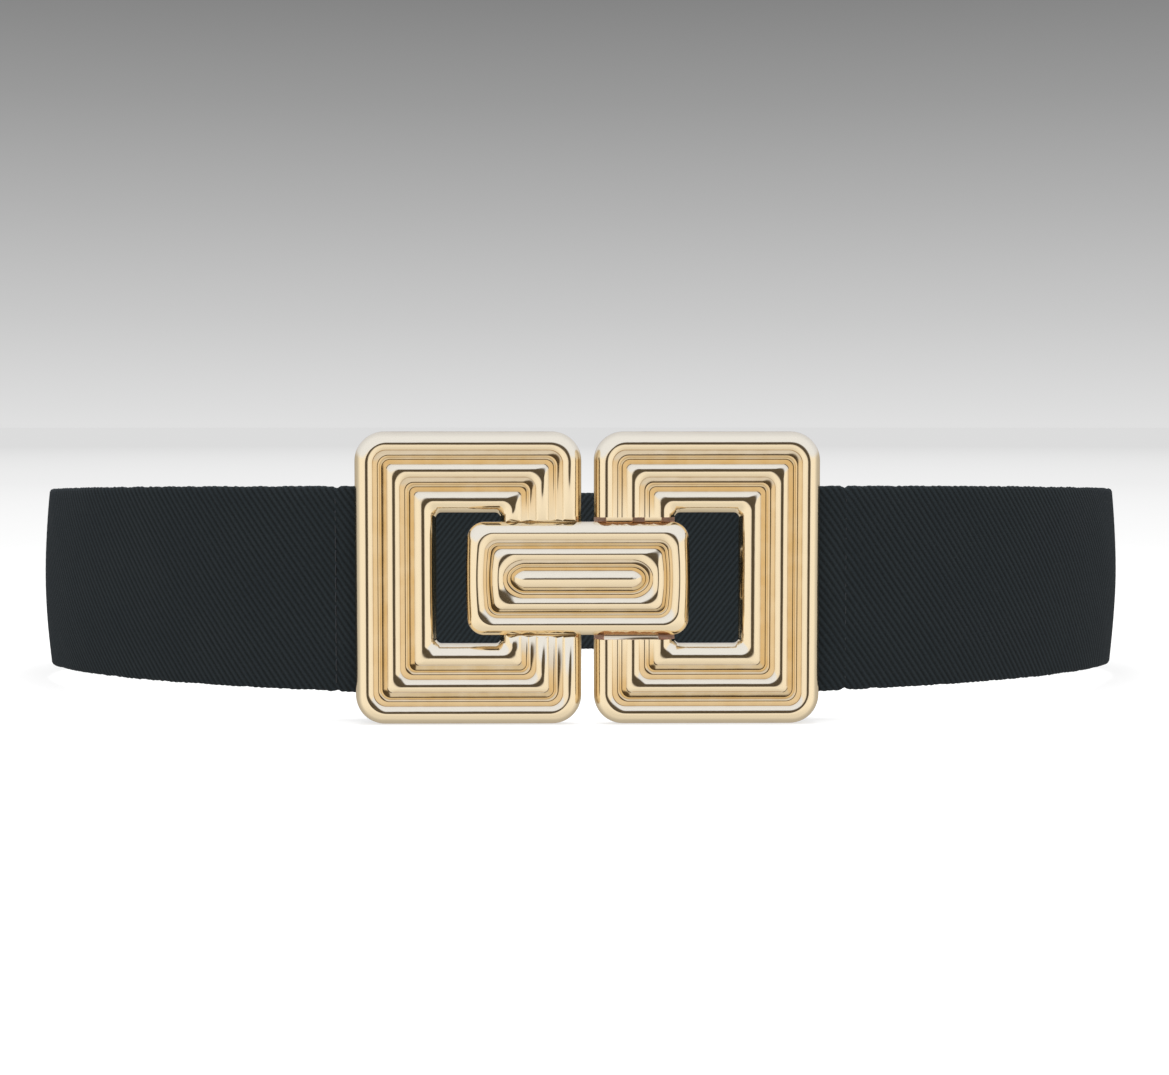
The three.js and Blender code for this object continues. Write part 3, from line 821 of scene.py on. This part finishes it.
def stitch(radius, length):
    """One sewn stitch: a thread that dips into the cloth at both ends."""
    deselect_all()
    bpy.ops.mesh.primitive_cylinder_add(vertices=10, radius=radius, depth=length)
    made = bpy.context.object
    edit(made)
    select_where(made, "faces", lambda face: abs(face.normal.z) > 0.9)
    bpy.ops.mesh.inset(thickness=radius * 0.5)
    select_where(made, "faces", lambda face: abs(face.normal.z) > 0.9 and face.calc_area() < 2.2 * radius ** 2)
    bpy.ops.transform.resize(value=(0.6, 0.6, 1), center_override=(0, 0, 0))
    bpy.ops.mesh.select_all(action="SELECT")
    bpy.ops.mesh.bisect(plane_co=(0, 0, length * 0.3), plane_no=(0, 0, 1))
    bpy.ops.mesh.select_all(action="SELECT")
    bpy.ops.mesh.bisect(plane_co=(0, 0, -length * 0.3), plane_no=(0, 0, 1))
    leave_edit()
    for vertex in made.data.vertices:
        if abs(vertex.co.z) > length * 0.45:
            vertex.co.y += radius * 1.2
    return made


def sewn_line(line, material):
    """The row of stitches that shows on the band's face, and the same row on the folded end behind it."""
    rows = []
    for name, run in (("front", line.run), ("back", line.tail_run)):
        bottom = band_place(run, -BAND_WIDTH / 2 + STITCH_PITCH, 0)
        face = band_place(run, -BAND_WIDTH / 2 + STITCH_PITCH, BAND_THICKNESS / 2 - PINCH_DEPTH - RIB_RISE / 2)
        outward = face - bottom
        row = stitch(THREAD_RADIUS, STITCH_PITCH * 0.86)
        count = int((BAND_WIDTH - STITCH_PITCH) / STITCH_PITCH)
        apply_modifier(row, "ARRAY", count=count, use_relative_offset=False, use_constant_offset=True,
                       constant_offset_displace=(0, 0, STITCH_PITCH))
        row.rotation_euler = (0, 0, math.atan2(outward.x, -outward.y))
        row.location = face
        only(row)
        bpy.ops.object.transform_apply(location=True, rotation=True, scale=True)
        rows.append(row)
    deselect_all()
    for row in rows:
        row.select_set(True)
    bpy.context.view_layer.objects.active = rows[0]
    bpy.ops.object.join()
    return finish_piece(rows[0], f"stitching_{line.name}", [material], smooth_angle=50)


def add_node(tree, kind, inputs=None, **settings):
    """Adds a shader node with its settings, and with values or sockets on its inputs."""
    node = tree.nodes.new(kind)
    for name, value in settings.items():
        setattr(node, name, value)
    for key, value in (inputs or {}).items():
        if isinstance(value, bpy.types.NodeSocket):
            tree.links.new(value, node.inputs[key])
        else:
            node.inputs[key].default_value = value
    return node


def math_node(tree, operation, first, second=0.0, third=0.0):
    return add_node(tree, "ShaderNodeMath", {0: first, 1: second, 2: third}, operation=operation).outputs[0]


def blend_colours(tree, share, first, second):
    """A colour between two, by a share."""
    node = add_node(tree, "ShaderNodeMix", {0: share}, data_type="RGBA")
    for socket, value in ((node.inputs[6], first), (node.inputs[7], second)):
        if isinstance(value, bpy.types.NodeSocket):
            tree.links.new(value, socket)
        else:
            socket.default_value = value
    return node.outputs[2]


def rgb(red, green, blue):
    """A shader colour from 8-bit display values."""
    def linear(value):
        share = value / 255
        return share / 12.92 if share <= 0.04045 else ((share + 0.055) / 1.055) ** 2.4
    return (linear(red), linear(green), linear(blue), 1.0)


def new_group(name, inputs, outputs):
    """A shader node group with named inputs, which have a kind and a starting value, and outputs."""
    group = bpy.data.node_groups.new(name, "ShaderNodeTree")
    for label, kind, value in inputs:
        socket = group.interface.new_socket(label, in_out="INPUT", socket_type=kind)
        if value is not None:
            socket.default_value = value
    for label, kind in outputs:
        group.interface.new_socket(label, in_out="OUTPUT", socket_type=kind)
    start = add_node(group, "NodeGroupInput")
    end = add_node(group, "NodeGroupOutput")
    return group, start, end


def cast_surface_group():
    """The skin of polished, plated castings: soft waves left by polishing, faint scuffs and painted shade in the
    grooves.
    """
    group, start, end = new_group(
        "cast_surface",
        [("Vector", "NodeSocketVector", None), ("Groove", "NodeSocketFloat", 0.0),
         ("Wave Size", "NodeSocketFloat", 6.0), ("Scuff Size", "NodeSocketFloat", 0.4)],
        [("Height", "NodeSocketFloat"), ("Scuffs", "NodeSocketFloat"), ("Painted Groove Shade", "NodeSocketFloat"),
         ("Blotches", "NodeSocketFloat")])
    millimetres = add_node(group, "ShaderNodeVectorMath", {0: start.outputs["Vector"], 1: (MM, MM, MM)},
                           operation="MULTIPLY").outputs[0]
    wave_scale = math_node(group, "DIVIDE", 1.0, start.outputs["Wave Size"])
    scuff_scale = math_node(group, "DIVIDE", 1.0, start.outputs["Scuff Size"])
    waves = add_node(group, "ShaderNodeTexNoise",
                     {"Vector": millimetres, "Scale": wave_scale, "Detail": 2.0, "Roughness": 0.45})
    scuffs = add_node(group, "ShaderNodeTexNoise",
                      {"Vector": millimetres, "Scale": scuff_scale, "Detail": 4.0, "Roughness": 0.6})
    clouds = add_node(group, "ShaderNodeTexNoise", {"Vector": millimetres, "Scale": 0.22, "Detail": 3.0})
    broken = math_node(group, "MULTIPLY_ADD", clouds.outputs["Fac"], 0.7, 0.15)
    group.links.new(waves.outputs["Fac"], end.inputs["Height"])
    group.links.new(scuffs.outputs["Fac"], end.inputs["Scuffs"])
    # Painted shade: the groove mask, broken up by clouds, darkens the colour at the feet of the ridges where shade
    # falls
    group.links.new(math_node(group, "MULTIPLY", start.outputs["Groove"], broken), end.inputs["Painted Groove Shade"])
    group.links.new(math_node(group, "MULTIPLY_ADD", clouds.outputs["Fac"], 0.6, 0.6), end.inputs["Blotches"])
    return group


def yarn_group():
    """Twisted yarn seen up close: a height for bump and a mask that varies from yarn to yarn."""
    group, start, end = new_group(
        "yarn",
        [("Vector", "NodeSocketVector", None), ("Fibre Size", "NodeSocketFloat", 0.3)],
        [("Height", "NodeSocketFloat"), ("Fleck", "NodeSocketFloat")])
    scale = math_node(group, "DIVIDE", 1.0, start.outputs["Fibre Size"])
    fibres = add_node(group, "ShaderNodeTexNoise",
                      {"Vector": start.outputs["Vector"], "Scale": scale, "Detail": 3.0, "Roughness": 0.65})
    flecks = add_node(group, "ShaderNodeTexVoronoi",
                      {"Vector": start.outputs["Vector"], "Scale": math_node(group, "MULTIPLY", scale, 0.8)})
    group.links.new(fibres.outputs["Fac"], end.inputs["Height"])
    group.links.new(flecks.outputs["Distance"], end.inputs["Fleck"])
    return group


CAST_SURFACE = cast_surface_group()
YARN = yarn_group()


def new_material(name):
    material = bpy.data.materials.new(name)
    material.use_nodes = True
    tree = material.node_tree
    shader = tree.nodes["Principled BSDF"]
    return material, tree, shader


def plated_metal(name, clean, fine, deep, polish, wave_size, bump):
    """Polished plating whose colour is deeper on the fine ribs, a painted reflection of light bounced between the
    ribs, and darkest in the grooves, painted shade.
    """
    material, tree, shader = new_material(name)
    place = add_node(tree, "ShaderNodeTexCoord").outputs["Object"]
    groove = add_node(tree, "ShaderNodeAttribute", attribute_name="groove").outputs["Fac"]
    ribbed = add_node(tree, "ShaderNodeAttribute", attribute_name="fine").outputs["Fac"]
    skin = add_node(tree, "ShaderNodeGroup", node_tree=CAST_SURFACE)
    tree.links.new(place, skin.inputs["Vector"])
    tree.links.new(groove, skin.inputs["Groove"])
    skin.inputs["Wave Size"].default_value = wave_size
    # Painted reflection: the fine ribs take the deeper fine colour, standing in for light bounced between the gold
    # ribs; the blotches vary it at random
    plating = blend_colours(tree, math_node(tree, "MULTIPLY", ribbed, skin.outputs["Blotches"]), clean, fine)
    # Painted shade: the groove mask blends the plating towards the deep colour at the feet of the ridges
    tree.links.new(blend_colours(tree, skin.outputs["Painted Groove Shade"], plating, deep), shader.inputs["Base Color"])
    rough = add_node(tree, "ShaderNodeMapRange",
                     {"Value": skin.outputs["Scuffs"], "From Min": 0.3, "From Max": 0.75,
                      "To Min": polish, "To Max": polish + 0.08})
    tree.links.new(rough.outputs[0], shader.inputs["Roughness"])
    relief = add_node(tree, "ShaderNodeBump", {"Height": skin.outputs["Height"], "Strength": 1.0,
                                               "Distance": bump / MM})
    tree.links.new(relief.outputs[0], shader.inputs["Normal"])
    shader.inputs["Metallic"].default_value = 1.0
    return material


def black_elastic():
    """Black woven elastic: painted shade in the grooves between the ribs, fine yarns along the band and a soft sheen.
    """
    material, tree, shader = new_material("black_elastic")
    strip = add_node(tree, "ShaderNodeUVMap", uv_map="strip").outputs[0]
    millimetres = add_node(tree, "ShaderNodeMapping",
                           {"Vector": strip, "Scale": (BAND_LENGTH, BAND_WIDTH, 1)}).outputs[0]
    yarn = add_node(tree, "ShaderNodeGroup", node_tree=YARN)
    tree.links.new(millimetres, yarn.inputs["Vector"])
    split = add_node(tree, "ShaderNodeSeparateXYZ", {0: millimetres})
    along = math_node(tree, "MULTIPLY_ADD", split.outputs["Y"], RIB_LEAN, split.outputs["X"])
    phase = math_node(tree, "MULTIPLY", along, 2 * math.pi / RIB_RUN)
    rib = math_node(tree, "MULTIPLY_ADD", math_node(tree, "COSINE", phase), -0.5, 0.5)
    weft = math_node(tree, "SINE", math_node(tree, "MULTIPLY", split.outputs["Y"], 2 * math.pi / WEFT_PITCH))
    clouds = add_node(tree, "ShaderNodeTexNoise", {"Vector": millimetres, "Scale": 0.05, "Detail": 3.0})
    ground = blend_colours(tree, clouds.outputs["Fac"], rgb(27, 33, 37), rgb(36, 41, 43))
    # Painted shade: the rib phase darkens the colour in the grooves between the twill ribs
    ribbed = blend_colours(tree, rib, rgb(19, 22, 23), ground)
    flecked = blend_colours(tree, math_node(tree, "MULTIPLY", yarn.outputs["Fleck"], 0.2), ribbed, rgb(52, 57, 58))
    tree.links.new(flecked, shader.inputs["Base Color"])
    shader.inputs["Roughness"].default_value = 0.86
    shader.inputs["Sheen Weight"].default_value = 0.015
    shader.inputs["Sheen Roughness"].default_value = 0.45
    shader.inputs["Specular IOR Level"].default_value = 0.05
    height = math_node(tree, "MULTIPLY_ADD", weft, 0.35, yarn.outputs["Height"])
    relief = add_node(tree, "ShaderNodeBump", {"Height": height, "Strength": 0.6, "Distance": 0.05 / MM})
    tree.links.new(relief.outputs[0], shader.inputs["Normal"])
    return material


def black_thread():
    """Sewing thread, a little glossier than the band."""
    material, tree, shader = new_material("black_thread")
    place = add_node(tree, "ShaderNodeTexCoord").outputs["Object"]
    millimetres = add_node(tree, "ShaderNodeVectorMath", {0: place, 1: (MM, MM, MM)},
                           operation="MULTIPLY").outputs[0]
    yarn = add_node(tree, "ShaderNodeGroup", node_tree=YARN)
    tree.links.new(millimetres, yarn.inputs["Vector"])
    yarn.inputs["Fibre Size"].default_value = 0.12
    tree.links.new(blend_colours(tree, yarn.outputs["Height"], rgb(13, 15, 16), rgb(26, 29, 30)),
                   shader.inputs["Base Color"])
    shader.inputs["Roughness"].default_value = 0.55
    relief = add_node(tree, "ShaderNodeBump", {"Height": yarn.outputs["Height"], "Strength": 0.7,
                                               "Distance": 0.04 / MM})
    tree.links.new(relief.outputs[0], shader.inputs["Normal"])
    return material


def ramp(tree, value, stops):
    """A colour ramp with stops of a position and a grey display value."""
    node = add_node(tree, "ShaderNodeValToRGB", {"Fac": value})
    node.color_ramp.interpolation = "LINEAR"
    elements = node.color_ramp.elements
    while len(elements) < len(stops):
        elements.new(1.0)
    for element, (position, grey) in zip(elements, stops):
        element.position = position
        element.color = rgb(grey, grey, grey)
    return node.outputs["Color"]


def pale_floor():
    """A wide pale floor, white around the belt and greyer towards the horizon, that also glows a little: painted light
    that keeps shadows on it faint.
    """
    deselect_all()
    bpy.ops.mesh.primitive_circle_add(vertices=96, radius=FLOOR_RADIUS, fill_type="NGON", location=(0, 0, -5e-5))
    floor = bpy.context.object
    floor.name = "pale_floor"
    material, tree, shader = new_material("pale_floor")
    place = add_node(tree, "ShaderNodeTexCoord").outputs["Object"]
    distance = add_node(tree, "ShaderNodeVectorMath", {0: place}, operation="LENGTH").outputs["Value"]
    share = math_node(tree, "DIVIDE", distance, 6.0)
    grey = ramp(tree, share, FLOOR_GREYS)
    tree.links.new(blend_colours(tree, FLOOR_PAINT, (0, 0, 0, 1), grey), shader.inputs["Base Color"])
    shader.inputs["Roughness"].default_value = 1.0
    shader.inputs["Specular IOR Level"].default_value = 0.0
    # Painted light: the floor glows with its own grey so that the belt's shadows on it stay faint
    tree.links.new(grey, shader.inputs["Emission Color"])
    shader.inputs["Emission Strength"].default_value = FLOOR_GLOW
    floor.data.materials.append(material)
    floor.visible_glossy = False


def light_tent():
    """A bright tent around the belt with a dark opening at the camera, and a grey backdrop behind it."""
    world = bpy.data.worlds.new("light_tent")
    bpy.context.scene.world = world
    world.use_nodes = True
    tree = world.node_tree
    tree.nodes.clear()
    direction = add_node(tree, "ShaderNodeTexCoord").outputs["Generated"]
    split = add_node(tree, "ShaderNodeSeparateXYZ", {0: direction})
    x, y, z = (split.outputs[axis] for axis in "XYZ")

    def smooth(value, low, high):
        return add_node(tree, "ShaderNodeMapRange", {"Value": value, "From Min": low, "From Max": high},
                        interpolation_type="SMOOTHSTEP").outputs[0]

    def length(first, second):
        squares = math_node(tree, "ADD", math_node(tree, "MULTIPLY", first, first),
                            math_node(tree, "MULTIPLY", second, second))
        return math_node(tree, "SQRT", squares)

    def mixed(share, low, high):
        """A number between two, by a share."""
        node = add_node(tree, "ShaderNodeMix", {0: share}, data_type="FLOAT")
        for socket, value in ((node.inputs[2], low), (node.inputs[3], high)):
            if isinstance(value, bpy.types.NodeSocket):
                tree.links.new(value, socket)
            else:
                socket.default_value = value
        return node.outputs[0]

    overhead = smooth(z, 0.06, 0.30)
    underneath = smooth(z, -0.4, -0.95)
    aside = smooth(length(x, z), 0.18, 0.75)
    level = mixed(underneath, mixed(aside, TENT_NEAR, TENT_SIDES), TENT_FLOOR)
    front = mixed(overhead, level, TENT_TOP)
    rear = mixed(overhead, TENT_REAR, TENT_REAR_TOP)
    strength = mixed(smooth(y, -0.1, 0.5), front, rear)

    right = math_node(tree, "SUBTRACT", x, OPENING_X)
    up = math_node(tree, "SUBTRACT", z, OPENING_Z)
    long_way = math_node(tree, "MULTIPLY", math_node(tree, "ADD", right, up), math.sqrt(0.5) / OPENING_LONG)
    short_way = math_node(tree, "MULTIPLY", math_node(tree, "SUBTRACT", up, right), math.sqrt(0.5) / OPENING_SHORT)
    outside = smooth(length(long_way, short_way), 0.75, 1.1)
    lit_share = math_node(tree, "MAXIMUM", outside, smooth(y, -0.5, -0.3))
    card = blend_colours(tree, aside, TENT_WARM, (1.0, 0.985, 0.97, 1.0))
    tent = blend_colours(tree, lit_share, OPENING_COLOUR, blend_colours(tree, overhead, card, TENT_COOL))
    lit = add_node(tree, "ShaderNodeBackground", {"Color": tent, "Strength": strength})

    seen = add_node(tree, "ShaderNodeBackground", {"Color": ramp(tree, math_node(tree, "MULTIPLY", z, 2.0),
                                                                 BACKDROP_GREYS)})
    plain = add_node(tree, "ShaderNodeBackground", {"Color": (1.0, 1.0, 1.0, 1.0), "Strength": TENT_DIFFUSE})
    path = add_node(tree, "ShaderNodeLightPath")
    reflected = add_node(tree, "ShaderNodeMixShader",
                         {0: path.outputs["Is Glossy Ray"], 1: plain.outputs[0], 2: lit.outputs[0]})
    both = add_node(tree, "ShaderNodeMixShader",
                    {0: path.outputs["Is Camera Ray"], 1: reflected.outputs[0], 2: seen.outputs[0]})
    add_node(tree, "ShaderNodeOutputWorld", {"Surface": both.outputs[0]})


def light_the_loop():
    """A small soft light above the buckle that shines on the inside of the loop behind it."""
    data = bpy.data.lights.new("loop_light", "AREA")
    lamp = bpy.data.objects.new("loop_light", data)
    bpy.context.scene.collection.objects.link(lamp)
    data.size = LOOP_LIGHT_SIZE / MM
    data.energy = LOOP_LIGHT_WATTS
    place = Vector((0, -60.0, LOOP_LIGHT_HEIGHT))
    aim = Vector((0, band_high.y, MIDDLE_Z))
    lamp.location = place / MM
    lamp.rotation_euler = (aim - place).to_track_quat("-Z", "Y").to_euler()
    lamp.visible_glossy = False


def stand_camera():
    """A camera a little above the buckle's top, half a metre in front of it."""
    data = bpy.data.cameras.new("photo_camera")
    camera = bpy.data.objects.new("photo_camera", data)
    bpy.context.scene.collection.objects.link(camera)
    data.sensor_width = 36.0
    data.lens = FOCAL_PIXELS * data.sensor_width / PHOTO_WIDTH
    camera.location = Vector((CAMERA_X, band_low.y - CAMERA_DISTANCE, CAMERA_HEIGHT)) / MM
    camera.rotation_euler = (math.radians(90 - CAMERA_PITCH), 0, math.radians(-CAMERA_YAW))
    bpy.context.scene.camera = camera


# Second colour: the fine ribs' painted reflection; third: the painted shade in the grooves
gold = plated_metal("champagne_gold", rgb(244, 225, 189), rgb(219, 180, 118), rgb(150, 114, 68), 0.07, 8.0, 0.07)
cut_metal = plated_metal("copper_cut", rgb(244, 208, 184), rgb(234, 192, 164), rgb(216, 170, 140), 0.30, 1.5, 0.05)
elastic = black_elastic()
thread = black_thread()

body = ribbed_frame()
left_frame = buckle_frame(body, "ribbed_frame_left", -1, LEFT_SEAT_MARGIN, STUDS, [gold, gold])
right_frame = buckle_frame(body, "ribbed_frame_right", 1, RIGHT_SEAT_MARGIN, [], [gold, cut_metal])
bpy.data.objects.remove(body)
plate = clasp_plate([gold])
band = woven_band(elastic)
left_stitching, right_stitching = (sewn_line(line, thread) for line in STITCH_LINES)

for piece, node in ((left_frame, "left_frame"), (right_frame, "right_frame"), (plate, "clasp_plate"),
                    (band, "elastic_band")):
    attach(piece, "root")
    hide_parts(node)
for piece in (left_stitching, right_stitching):
    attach(piece, "root")

pale_floor()
light_tent()
light_the_loop()
stand_camera()
bpy.context.scene.view_settings.view_transform = "Standard"
